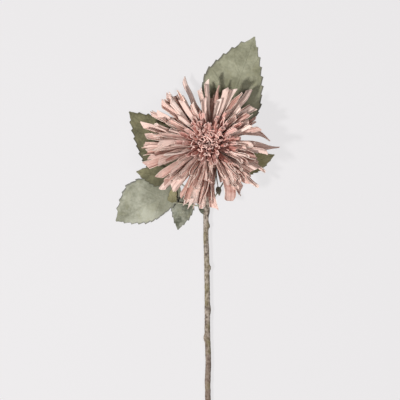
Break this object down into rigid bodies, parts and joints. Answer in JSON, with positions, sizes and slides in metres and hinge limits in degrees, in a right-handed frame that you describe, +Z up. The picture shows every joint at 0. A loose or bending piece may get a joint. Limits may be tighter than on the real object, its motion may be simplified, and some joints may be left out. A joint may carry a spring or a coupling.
{
  "type": "paper flower",
  "caption": "Paper chrysanthemum on a bark-wrapped wire stem with folded strip petals and toothed leaves, lying on its back.",
  "frame": {"origin": "middle of the bounding box at the surface the flower lies on", "axes": "+Y from the cut end of the stem to the tip of the top leaf, +Z up out of the surface, +X to the right seen from above"},
  "size_m": [0.167, 0.4328, 0.0718],
  "materials": {
    "petal_outer": "matte dusty pink paper",
    "petal_inner": "matte deeper pink paper",
    "leaf_paper": "matte sage green paper",
    "bark_paper": "rough brown wound paper",
    "stalk_paper": "matte green wound paper",
    "steel_wire": "drawn steel wire"
  },
  "bodies": {
    "root": {"petal_ring_01": "petal_outer", "petal_ring_02": "petal_outer", "petal_ring_03": "petal_outer", "petal_ring_04": "petal_outer", "petal_ring_05": "petal_outer", "petal_ring_06": "petal_outer", "petal_ring_07": "petal_inner", "petal_ring_08": "petal_inner", "petal_ring_09": "petal_inner", "petal_ring_10": "petal_inner", "centre_roll": "petal_inner", "calyx": "stalk_paper", "stem_wire": "steel_wire", "stem_bark": "bark_paper", "leaf_top": "leaf_paper", "stalk_leaf_top": "stalk_paper", "leaf_left": "leaf_paper", "stalk_leaf_left": "stalk_paper", "leaf_side": "leaf_paper", "stalk_leaf_side": "stalk_paper", "leaf_low": "leaf_paper", "stalk_leaf_low": "stalk_paper", "leaf_tiny": "leaf_paper", "stalk_leaf_tiny": "stalk_paper", "leaf_foot": "leaf_paper", "stalk_leaf_foot": "stalk_paper", "leaf_right": "leaf_paper", "stalk_leaf_right": "stalk_paper", "leaf_bud": "leaf_paper", "stalk_leaf_bud": "stalk_paper"}
  },
  "joints": []
}
